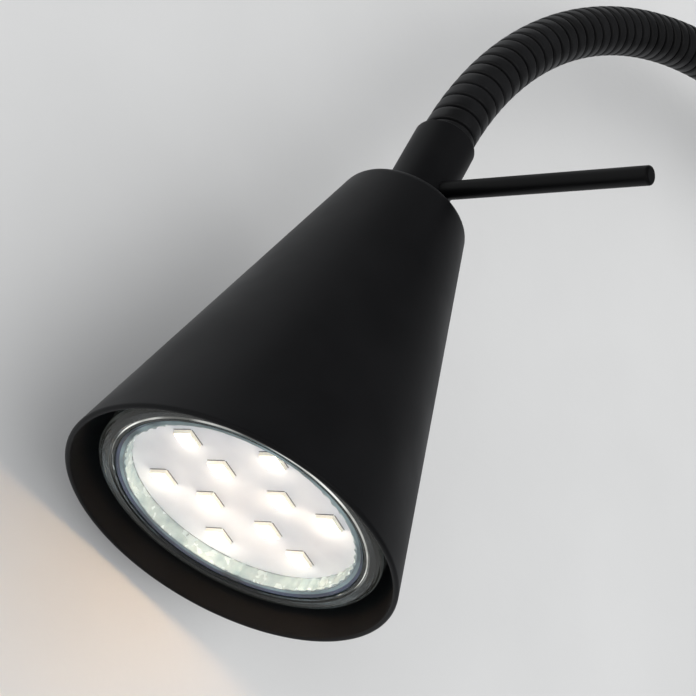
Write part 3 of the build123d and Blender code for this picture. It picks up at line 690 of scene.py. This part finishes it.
def neck_stretch(name, first_turn, last_turn):
    """Closed tube from one turn of the groove to another: ribbed skin, bore, both ends and their steps."""
    rows = []
    for turn in range(first_turn, last_turn):
        rows += [(turn + share, neck_radius - sink) for share, sink in turn_shape(turn)]
    rows.append((last_turn, neck_radius - groove_depth))
    step = len(turn_shape(first_turn))
    last = len(rows) - 1
    turns = last_turn - first_turn
    points = []
    skin = groove_grid(rows, step, points)
    bore = groove_grid([(first_turn + t, neck_bore_radius) for t in range(turns + 1)], 1, points)
    faces = [
        [skin[i, j], skin[i + 1, j], skin[i + 1, j + 1], skin[i, j + 1]]
        for j in range(last) for i in range(around)
    ]
    faces += [
        [bore[i, t], bore[i, t + 1], bore[i + 1, t + 1], bore[i + 1, t]]
        for t in range(turns) for i in range(around)
    ]
    for i in range(around):
        faces.append([skin[i, 0], bore[i, 0], bore[i + 1, 0], skin[i + 1, 0]])
        faces.append([skin[i, last], skin[i + 1, last], bore[i + 1, turns], bore[i, turns]])
    first_step = [skin[0, j] for j in range(step + 1)]
    last_step = [skin[around, j] for j in range(last - step, last + 1)]
    faces.append(first_step + [bore[0, 1], bore[0, 0]])
    faces.append(last_step + [bore[around, turns], bore[0, turns]])
    return piece(name, (points, faces), neck_steel, crease=neck_crease)


print("each row has", around, "points")

# %% Neck stretches
socket_turns = 3
half_link = 2


def carry(stretch, link, node):
    """Lets a stretch ride on the base or the head at the neck's ends; other stretches stay where they are."""
    if link in (0, neck_links):
        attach(stretch, "base" if link == 0 else "head")
    else:
        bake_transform(stretch)
    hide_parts(node)


for link in range(neck_links + 1):
    last_turn = link * turns_per_link + half_link
    first_turn = last_turn - turns_per_link if link else -socket_turns
    stretch = neck_stretch(f"neck_stretch_{link + 1:02d}", first_turn, last_turn)
    carry(stretch, link, f"neck_link_{min(link + 1, neck_links):02d}")
print("neck:", neck_links + 1, "stretches")

# %% [markdown]
# ## Cable in the neck
# The flex runs loose inside the wound tube, from the base to the lamp holder. It could be one curve with a
# bevel, but then it would follow only one body. It is cut into stretches like the neck around it, and the
# first and last ride on the base and on the head.

# %% Neck cable
cable_radius = 1.9 * mm
cable_start = -28.95 * mm
cable_end = neck_length + collar_length + 7.15 * mm
cable_rows = 8
cable_steps = 24


def cable_stretch(name, start, end):
    """Closed tube along the neck's centre line."""
    points = []
    for row in range(cable_rows + 1):
        distance = start + (end - start) * row / cable_rows
        points += [neck_point(distance, 2 * pi * k / cable_steps, cable_radius) for k in range(cable_steps)]
    rings = [list(range(first, first + cable_steps)) for first in range(0, len(points), cable_steps)]
    return piece(name, (points, joined(rings) + [rings[0], rings[-1]]), pvc_black)


for link in range(neck_links + 1):
    start = (link - 0.5) * link_length if link else cable_start
    end = (link + 0.5) * link_length if link < neck_links else cable_end
    carry(cable_stretch(f"cable_stretch_{link + 1:02d}", start, end), link, "neck_cable")
print("cable:", round((cable_end - cable_start) / mm), "mm long")

# %% [markdown]
# ## Lamp glass
# The lamp's bowl is pressed glass with a wide bead and a sharp narrow one round its rim. It is turned from
# one closed outline, because glass needs both its skins to bend light. On the beads, thin strips stand for
# the flanks that the lamp lights from within. Their other sides are grey, so that they light nothing else.
# The pane gets two more strips, the blue and the pale green of its lit edge. Between the pane and the board
# stands a band of small etched prisms, which catch the light from the diodes and add a faint painted glow of
# their own.

# %% Sizes of the lamp
lamp_front = 70.6 * mm
rim_radius = 25 * mm
rim_inside = 22 * mm
rim_back = lamp_front - 4.6 * mm
rim_shoulder = rim_radius - 1 * mm
bowl_back = lamp_front - 33.6 * mm
bowl_middle = (bowl_back + rim_back) / 2
bowl_foot = 13.5 * mm
bowl_wall = 2.2 * mm
bowl_belly = (bowl_foot + rim_shoulder) / 2 + 1.8 * mm
glass_seat = lamp_front - 1.2 * mm
board_pocket = rim_inside - 1.4 * mm
board_front = lamp_front - 3.8 * mm
board_back = board_front - 1.2 * mm
board_ledge = board_pocket - 2 * mm
print("lamp glass:", round(2 * rim_radius / mm), "mm across")

# %% Bowl and rim
wide_bead = rim_radius - 0.9 * mm
wide_bead_foot = rim_inside + 0.95 * mm
valley = rim_inside + 0.65 * mm
valley_depth = 0.55 * mm
sharp_bead = rim_inside + 0.38 * mm
bead_fall = 0.1 * mm
rim_corner = 0.4 * mm


def curve(start, through, end, steps=12):
    """Smooth curve from start to end that passes through a third point half-way."""
    start, through, end = Vector(start), Vector(through), Vector(end)
    pull = through * 2 - (start + end) / 2
    shares = [k / steps for k in range(steps + 1)]
    return [start * (1 - t) ** 2 + pull * 2 * t * (1 - t) + end * t ** 2 for t in shares]


rim_outline = rounded([
    (rim_shoulder, rim_back),
    (rim_radius, rim_back, 0.3 * mm),
    (rim_radius, lamp_front - rim_corner, rim_corner),
    (wide_bead, lamp_front, 0.5 * mm),
    (wide_bead_foot, lamp_front - bead_fall, 0.3 * mm),
    (valley, lamp_front - valley_depth, 0.12 * mm),
    (sharp_bead, lamp_front, 0.1 * mm),
    (rim_inside, lamp_front - bead_fall, 0.06 * mm),
    (rim_inside, glass_seat),
    (board_pocket, glass_seat, 0.15 * mm),
    (board_pocket, board_back),
    (board_ledge, board_back),
])
bowl_outside = curve((bowl_foot, bowl_back), (bowl_belly, bowl_middle), (rim_shoulder, rim_back))
bowl_inside = curve(
    (board_ledge, board_back), (bowl_belly - bowl_wall, bowl_middle), (bowl_foot - bowl_wall, bowl_back),
)
glass_outline = bowl_outside[:-1] + rim_outline + bowl_inside[1:]
shape = turned(glass_outline, head_frame, rim_steps)
piece("lamp_bowl_and_rim", shape, rim_glass, "lamp", ["lamp_glass"])
print("bowl and rim:", len(glass_outline), "points in the outline")

# %% Pane and its lit edge
pane_radius = rim_inside - 0.2 * mm
pane_thickness = 1.0 * mm
pane_edge = 0.12 * mm
pane_outline = rounded([
    (0, glass_seat),
    (pane_radius, glass_seat, pane_edge),
    (pane_radius, glass_seat + pane_thickness, pane_edge),
    (0, glass_seat + pane_thickness),
])
shape = turned(pane_outline, head_frame, closed=False)
piece("lamp_pane", shape, pane_glass, "lamp", ["front_glass"])

border_low = glass_seat + 0.02 * mm
border_high = border_low + 0.05 * mm
for name, glass, inside, outside in (
    ("lamp_pane_edge", blue_edge, pane_radius - 0.5 * mm, pane_radius - 0.1 * mm),
    ("lamp_pane_border", green_edge, board_pocket + 0.05 * mm, pane_radius - 0.55 * mm),
):
    corners = [(inside, border_low), (outside, border_low), (outside, border_high), (inside, border_high)]
    shape = turned([Vector(corner) for corner in corners], head_frame, rim_steps)
    piece(name, shape, glass, "lamp", ["front_glass"])
print("pane:", round(2 * pane_radius / mm, 1), "mm across")

# %% Lit flanks of the beads
flank_depth = Vector((0.04 * mm, 0.02 * mm))
# Each strip has the radius and the distance behind the front of its upper and of its lower edge
inner_edges = [(rim_inside + 0.48 * mm, 0.11 * mm), (rim_inside + 0.62 * mm, 0.41 * mm)]
outer_edges = [(rim_radius - 0.18 * mm, 0.29 * mm), (rim_radius + 0.02 * mm, 0.89 * mm)]
for name, glass, edges in (
    ("lamp_inner_flank", bright_flank, inner_edges),
    ("lamp_outer_flank", dim_flank, outer_edges),
):
    high, low = (Vector((radius, lamp_front - behind)) for radius, behind in edges)
    shape = turned([high, low, low - flank_depth, high - flank_depth], head_frame, rim_steps)
    strip = piece(name, shape, glass, "lamp", ["lamp_glass"])
    strip.data.materials.append(grey_adhesive)
    for side in strip.data.polygons[rim_steps:]:
        side.material_index = 1
    print(name, round((low - high).length / mm, 2), "mm wide")

# %% Prism band
prism_count = 56
prism_steps = 8
prism_depth = 0.35 * mm
band_gap = 0.04 * mm
band_wall = 0.15 * mm
band_rows = 6


def prisms(radius, distance, angle):
    """Moulded prisms, deeper in some stretches than in others, on the inner side of the band."""
    if radius > board_pocket - 2 * band_gap:
        return radius, distance
    stretch_depth = 0.6 + 0.4 * sin(5 * angle + 2 * sin(3 * angle))
    share = stretch_depth * (0.5 + 0.5 * sin(prism_count * angle))
    return radius - prism_depth * share * share, distance


band_low = board_front + band_gap
band_high = glass_seat - band_gap
band_outside = board_pocket - band_gap
band_outline = [Vector((band_outside, band_low)), Vector((band_outside, band_high))] + [
    Vector((band_outside - band_wall, band_high + (band_low - band_high) * k / band_rows))
    for k in range(band_rows + 1)
]
shape = turned(band_outline, head_frame, prism_count * prism_steps, form=prisms)
piece("lamp_prism_band", shape, etched_glass_painted_glow, "lamp", ["lamp_glass"])
print("band:", prism_count, "prisms")

# %% [markdown]
# ## Board and diodes
# The board is a disc of aluminium with white solder resist. Ten diodes stand on it in two rings: white
# moulded cases, each with a square of phosphor in its top. Beside each case, one dark strip along its upper
# side and one along its right side are painted shadow at the case's foot, drawn as copper tracks in the
# resist. An array modifier would need one for each ring. A list of places is plainer, and the lamp's small
# lights use it again further on.

# %% Board
board_radius = board_pocket - 0.2 * mm
board_edge = 0.15 * mm
board_outline = rounded([
    (0, board_back),
    (board_radius, board_back, board_edge),
    (board_radius, board_front, board_edge),
    (0, board_front),
])
shape = turned(board_outline, head_frame, closed=False)
piece("lamp_board", shape, board_white, "lamp", ["led_board"])

diode_rings = [(15 * mm, 6, radians(-19)), (7.5 * mm, 4, radians(3))]
diode_places = [
    (ring * cos(turn + 2 * pi * k / count), ring * sin(turn + 2 * pi * k / count))
    for ring, count, turn in diode_rings for k in range(count)
]


def on_board(height, aside=(0, 0)):
    """Places above the board, one for each diode."""
    steps = [(x + aside[0], y + aside[1], board_front + height) for x, y in diode_places]
    return [head_frame @ Matrix.Translation(step) for step in steps]


print("diodes:", len(diode_places))

# %% Diodes and painted shadow lines
diode_size = 3.5 * mm
case_height = 0.65 * mm
case_edge = 0.1 * mm
phosphor_size = 3.1 * mm
phosphor_height = 0.8 * mm
phosphor_edge = 0.12 * mm
shadow_line_width = 0.16 * mm
shadow_line_height = 0.08 * mm
shadow_line_edge = 0.02 * mm


def box_row(places, size, edge):
    """Points and faces of a row of boxes with rounded edges, each in the middle of its place."""
    shell = bmesh.new()
    for place in places:
        made = bmesh.ops.create_cube(shell, size=1, matrix=place @ Matrix.Diagonal((*size, 1)))
        edges = list({side for corner in made["verts"] for side in corner.link_edges})
        bmesh.ops.bevel(shell, geom=edges, offset=edge, segments=3, profile=0.5, affect="EDGES")
    shell.verts.index_update()
    points = [corner.co.copy() for corner in shell.verts]
    faces = [[corner.index for corner in face.verts] for face in shell.faces]
    shell.free()
    return points, faces


shape = box_row(on_board(case_height / 2), (diode_size, diode_size, case_height), case_edge)
piece("diode_cases", shape, diode_case, "lamp", ["led_chips"])

lid_height = phosphor_height - case_height / 2
lid_places = on_board(phosphor_height - lid_height / 2)
shape = box_row(lid_places, (phosphor_size, phosphor_size, lid_height), phosphor_edge)
piece("diode_phosphor", shape, phosphor, "lamp", ["led_chips"])

# Painted shadow: a dark strip along the upper and the right side of each case, drawn as copper tracks
shadow_line_aside = diode_size / 2 + shadow_line_width
for name, aside, size in (
    ("shadow_lines_above", (0, shadow_line_aside), (diode_size, shadow_line_width, shadow_line_height)),
    ("shadow_lines_beside", (shadow_line_aside, 0), (shadow_line_width, diode_size, shadow_line_height)),
):
    shape = box_row(on_board(shadow_line_height / 2, aside), size, shadow_line_edge)
    piece(name, shape, painted_shadow_track, "lamp", ["led_board"])
print("diode cases:", round(diode_size / mm, 1), "mm wide")

# %% [markdown]
# ## Base
# The base's cover, back plate and ferrule keep their solids. Its two cover screws get a domed head with a
# hexagon socket. A boolean could cut the socket, but it is turned like the rest, with the rings inside it
# pulled out to hexagons. The rocker gets the hollow that fingers find, soft edges and the two marks for on
# and off. It is a profile made thick, with its edges drawn as layers that step in.

# %% Cover screws
screw_radius = 1.5 * mm
screw_length = 6 * mm
screw_head_radius = 2.7 * mm
screw_head_height = 1.6 * mm
socket_radius = 1.25 * mm
socket_depth = 1.1 * mm
socket_floor = screw_head_height - socket_depth
socket_middle = 0.1 * mm
cover_radius = 40 * mm
screw_depth = 7.5 * mm


def hexagon(radius, distance, angle):
    """Turns the rings of the socket into hexagons."""
    in_socket = socket_middle <= radius <= socket_radius
    if not in_socket or distance < socket_floor - 0.05 * socket_depth:
        return radius, distance
    side = (angle + pi / 6) % (pi / 3) - pi / 6
    return radius / cos(side), distance


screw_outline = rounded([
    (0, socket_floor),
    (socket_radius, socket_floor),
    (socket_radius, screw_head_height - 0.03 * mm),
    (socket_radius + 0.25 * mm, screw_head_height),
    (screw_head_radius - 0.5 * mm, screw_head_height - 0.2 * mm, 1.0 * mm),
    (screw_head_radius, 0.3 * mm, 0.3 * mm),
    (screw_head_radius, 0),
    (screw_radius, 0),
    (screw_radius, -screw_length, 0.3 * mm),
    (0, -screw_length),
])
points = []
faces = []
for side in (-1, 1):
    screw_place = Vector((side * cover_radius, -screw_depth, 0))
    screw_frame = frame_at(screw_place, up, Vector((side, 0, 0)))
    more_points, more_faces = turned(screw_outline, screw_frame, small_steps, closed=False, form=hexagon)
    faces += [[corner + len(points) for corner in face] for face in more_faces]
    points += more_points
piece("socket_screws", (points, faces), coated_steel, "base", ["cover_screws"])
print("cover screws:", len(faces), "faces")

# %% Rocker
rocker_pivot = Vector(joints["rocker_tilt"]["pos_m"])
rocker_rest = radians(10)
rocker_half = 7.8 * mm
rocker_width = 10.2 * mm
rocker_under = 2.0 * mm
rocker_end_rise = 2.6 * mm
rocker_middle_rise = 1.4 * mm
rocker_edge = 0.35 * mm
foot_round = 0.3 * mm
end_round = 0.5 * mm
hollow_round = 12 * mm
rocker_up = Vector((0, -sin(rocker_rest), cos(rocker_rest)))
rocker_frame = frame_at(rocker_pivot, rocker_up, Vector((1, 0, 0)))
rocker_profile = rounded([
    (-rocker_half, -rocker_under, foot_round),
    (rocker_half, -rocker_under, foot_round),
    (rocker_half, rocker_end_rise, end_round),
    (0, rocker_middle_rise, hollow_round),
    (-rocker_half, rocker_end_rise, end_round),
])


def slab(profile, half_width, edge, place):
    """Points and faces of a profile made thick, with rounded edges on both sides."""
    arc_steps = 4
    arc = [radians(90 * k / arc_steps) for k in range(arc_steps + 1)]
    layers = [(-half_width + edge * (1 - sin(t)), edge * (1 - cos(t))) for t in reversed(arc)]
    layers += [(-z, inset) for z, inset in reversed(layers)]
    count = len(profile)
    points = []
    for z, inset in layers:
        for i in range(count):
            along = (profile[(i + 1) % count] - profile[i - 1]).normalized()
            inward = Vector((-along.y, along.x)) * inset
            points.append(place @ Vector((*(profile[i] + inward), z)))
    rings = [list(range(first, first + count)) for first in range(0, len(points), count)]
    return points, [rings[0], rings[-1]] + joined(rings)


shape = slab(rocker_profile, rocker_width / 2, rocker_edge, rocker_frame)
piece("rocker_body", shape, switch_abs, "rocker", ["switch_rocker"])
print("rocker:", round(rocker_width / mm, 1), "mm wide")

# %% Marks on the rocker
rocker_slope = atan2(rocker_end_rise - rocker_middle_rise, rocker_half)
mark_at = 5 * mm
mark_rise = rocker_middle_rise + mark_at * tan(rocker_slope)
mark_height = 0.15 * mm
mark_edge = 0.05 * mm
bar_length = 2.6 * mm
bar_width = 0.7 * mm
ring_radius = 1.3 * mm


def mark_place(side):
    """Place of a mark on the slope above the pivot, side 1, or below it, side -1."""
    slope = Matrix.Rotation(side * rocker_slope, 4, "Z")
    return rocker_frame @ Matrix.Translation((side * mark_at, mark_rise, 0)) @ slope


shape = box_row([mark_place(1)], (bar_length, 2 * mark_height, bar_width), mark_edge)
piece("rocker_bar_mark", shape, mark_paint, "rocker", ["switch_rocker"])
ring_outline = rounded([
    (ring_radius - bar_width / 2, -mark_height),
    (ring_radius + bar_width / 2, -mark_height),
    (ring_radius + bar_width / 2, mark_height, mark_edge),
    (ring_radius - bar_width / 2, mark_height, mark_edge),
])
ring_place = mark_place(-1) @ Matrix.Rotation(-pi / 2, 4, "X")
shape = turned(ring_outline, ring_place, small_steps)
piece("rocker_ring_mark", shape, mark_paint, "rocker", ["switch_rocker"])
print("marks stand", round(mark_at / mm), "mm from the pivot")

# %% [markdown]
# ## Finishes for the solids that stay
# Plates, nuts, tubes and wires already have their true shape, so they keep their solids and get a finish.
# One table names the pieces of each finish, which is easier to check than a line for each piece.

# %% Finishes for the solids
solid_finishes = {
    coated_steel: ["base_cover", "base_ferrule"],
    zinc_plate: [
        "back_plate", "base_nipple", "base_washer", "base_nut", "terminal_screws", "terminal_fixing_screws",
        "head_nipple", "head_washer", "head_nut", "holder_bracket", "holder_screws",
    ],
    drawn_brass: ["terminal_tubes", "earth_washer", "earth_screw", "switch_tabs", "holder_contacts"],
    nickel_plate: ["lamp_pins"],
    natural_nylon: ["terminal_block"],
    switch_abs: ["switch_housing"],
    white_pbt: ["lamp_base"],
    fired_steatite: ["lamp_holder"],
    circuit_laminate: ["lamp_driver"],
    pvc_black: ["switched_lead", "head_leads"],
    pvc_brown: ["live_lead"],
    pvc_blue: ["neutral_lead"],
    pvc_earth: ["earth_lead"],
}
for material, names in solid_finishes.items():
    for name in names:
        for material_slot in nodes[name].material_slots:
            material_slot.material = material
print("solids kept:", sum(len(names) for names in solid_finishes.values()))

# %% [markdown]
# ## Stage
# The photograph shows the light on a pale painted wall. The wall and a floor well below it are stage, not
# part of the light. The wall shows only from its front and casts no shadow, so that the light's back can be
# seen too. The floor glows faintly, so that it stays pale in views from above. Neither shows in mirror
# reflections or sends light back to the part: the world does both, from every side.


# %% Wall and floor
def stage_paint(name, glow):
    """Matt wall paint that shows the eye an even pale grey with a roller's stipple, clear from behind."""
    stipple = (4 * mm, 4.0, 0.25, 0.3 * mm)
    material = surface(name, {
        "Roughness": 0.9, "Specular IOR Level": 0.2,
        "Emission Color": linear("#eef0f2"), "Emission Strength": glow,
    }, ("#d6d6d6", "#dadada"), (40 * mm, 3.0), grains=[stipple])
    tree = material.node_tree
    clear = add(tree, "BsdfTransparent")
    behind = add(tree, "NewGeometry").outputs["Backfacing"]
    mixed = add(tree, "MixShader", {0: behind, 1: tree.nodes["Principled BSDF"], 2: clear})
    plug(tree, tree.nodes["Material Output"], {"Surface": mixed})
    return material


def flat_stage(name, corners, material):
    """One flat sheet of stage, kept out of reflections and out of the light that the part gets."""
    mesh = bpy.data.meshes.new(name)
    mesh.from_pydata(corners, [], [(0, 1, 2, 3)])
    mesh.materials.append(material)
    made = new_object(name, mesh)
    made.visible_diffuse = False
    made.visible_glossy = False
    return made


wall_reach = 3.0
wall_depth = 0.3 * mm
floor_reach = 12.0
floor_level = -1.6
wall = flat_stage("wall", [
    (-wall_reach, wall_depth, floor_level), (wall_reach, wall_depth, floor_level),
    (wall_reach, wall_depth, wall_reach), (-wall_reach, wall_depth, wall_reach),
], stage_paint("pale wall paint", 0.0))
wall.visible_shadow = False
flat_stage("floor", [
    (-floor_reach, -floor_reach, floor_level), (floor_reach, -floor_reach, floor_level),
    (floor_reach, floor_reach, floor_level), (-floor_reach, floor_reach, floor_level),
], stage_paint("pale floor paint", 0.3))
print("wall", 2 * wall_reach, "m wide, floor", -floor_level, "m below the light")

# %% [markdown]
# ## Light
# A wide soft light stands out from the wall and to the right, as a window does in a plain room by day, and
# two weak ones fill the left and the underside. The wide one is kept out of mirror reflections, because the
# black coat shows no bright window in the photograph, only the pale wall along its edges. The lamp is lit
# too. A small warm light at each diode makes its halo on the board. A spot light would draw a hard cone on
# the wall, so one warm point light near the mouth throws the pool of light, and the lip of the shade cuts
# it as it does on the real one. These ride with the lamp.


# %% Studio lights
def light_at(name, kind, place, power, code, **settings):
    """A light of one colour; an area light looks along the place's own -Z."""
    light = bpy.data.lights.new(name, kind)
    light.energy = power
    light.color = linear(code)[:3]
    for setting, value in settings.items():
        setattr(light, setting, value)
    made = new_object(name, light)
    made.matrix_world = place
    return made


def facing(place, target):
    """Matrix of a light at a place that shines at a target."""
    back = (place - target).normalized()
    return Matrix.Translation(place) @ back.to_track_quat("Z", "Y").to_matrix().to_4x4()


middle = (head_top + neck_start) / 2
# Place from the middle of the light in metres, power in watts, width in metres
studio_lights = {
    "room light": ((1.1, -1.5, 0), 23, 2.6),
    "left fill": ((-1.2, -0.7, 0.6), 2, 1.6),
    "low fill": ((-0.4, -1.5, -0.6), 1.5, 0.9),
}
for name, (aside, power, width) in studio_lights.items():
    place = facing(middle + Vector(aside), middle)
    studio = light_at(name, "AREA", place, power, "#fffefc", shape="DISK", size=width)
    studio.visible_glossy = name != "room light"
print("studio lights:", list(studio_lights))

# %% Lamp lights
halo_height = 1.6 * mm
halo_aside = (-1.0 * mm, -1.3 * mm)
halo_power = 0.0017
halo_size = 0.8 * mm
lamp_lights = [
    light_at(f"diode light {k + 1}", "POINT", place, halo_power, "#fff0da", shadow_soft_size=halo_size)
    for k, place in enumerate(on_board(halo_height, halo_aside))
]

beam_ahead = 1.2 * mm
beam_aside = 8 * mm
beam_power = 0.025
beam_size = 4 * mm
beam_side = head_axis.cross(Vector((0, 1, 0)))
beam_place = head_top + head_axis * (lamp_front + beam_ahead) + beam_side * beam_aside
beam = light_at(
    "lamp beam", "POINT", Matrix.Translation(beam_place), beam_power, "#ffcf98", shadow_soft_size=beam_size,
)
beam.visible_camera = False
lamp_lights.append(beam)
for light in lamp_lights:
    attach(light, "lamp")
    light.visible_glossy = False
    light.visible_transmission = False
print("lamp lights:", len(lamp_lights))

# %% [markdown]
# ## World
# The world is the room's even light. A picture of a room could do it, but plain tones are enough here. What
# the camera sees directly or through glass is the pale background. A mirror reflection sees a pale tone on
# the wall's side and a dark one on the room's side, which is why the black coat has pale edges and a dark
# middle.

# %% World
background_tone = 0.85
room_glow = 0.74
mirrored_room = 0.09
mirrored_wall = 0.5
soft_edge = 0.05

world = bpy.data.worlds.new("studio")
world.use_nodes = True
scene.world = world
world_tree = world.node_tree
direction = add(world_tree, "TexCoord").outputs["Generated"]
toward_wall = add(world_tree, "SeparateXYZ", {"Vector": direction}).outputs["Y"]
mirrored = add(world_tree, "MapRange", {
    "Value": toward_wall, "From Min": -soft_edge, "From Max": soft_edge,
    "To Min": mirrored_room, "To Max": mirrored_wall,
})
ray = add(world_tree, "LightPath")
unseen = add(world_tree, "Mix", {0: ray.outputs["Is Glossy Ray"], 2: room_glow, 3: mirrored})
seen = add(world_tree, "Math", {
    0: ray.outputs["Is Camera Ray"], 1: ray.outputs["Is Transmission Ray"],
}, operation="MAXIMUM")
strength = add(world_tree, "Mix", {0: seen, 2: unseen, 3: background_tone})
plug(world_tree, world_tree.nodes["Background"], {"Color": linear("#eef0f2"), "Strength": strength})
print("world:", len(world_tree.nodes), "nodes")

# %% [markdown]
# ## Finish
# The plain Standard view keeps colours as they are written.

# %% View
scene.view_settings.view_transform = "Standard"
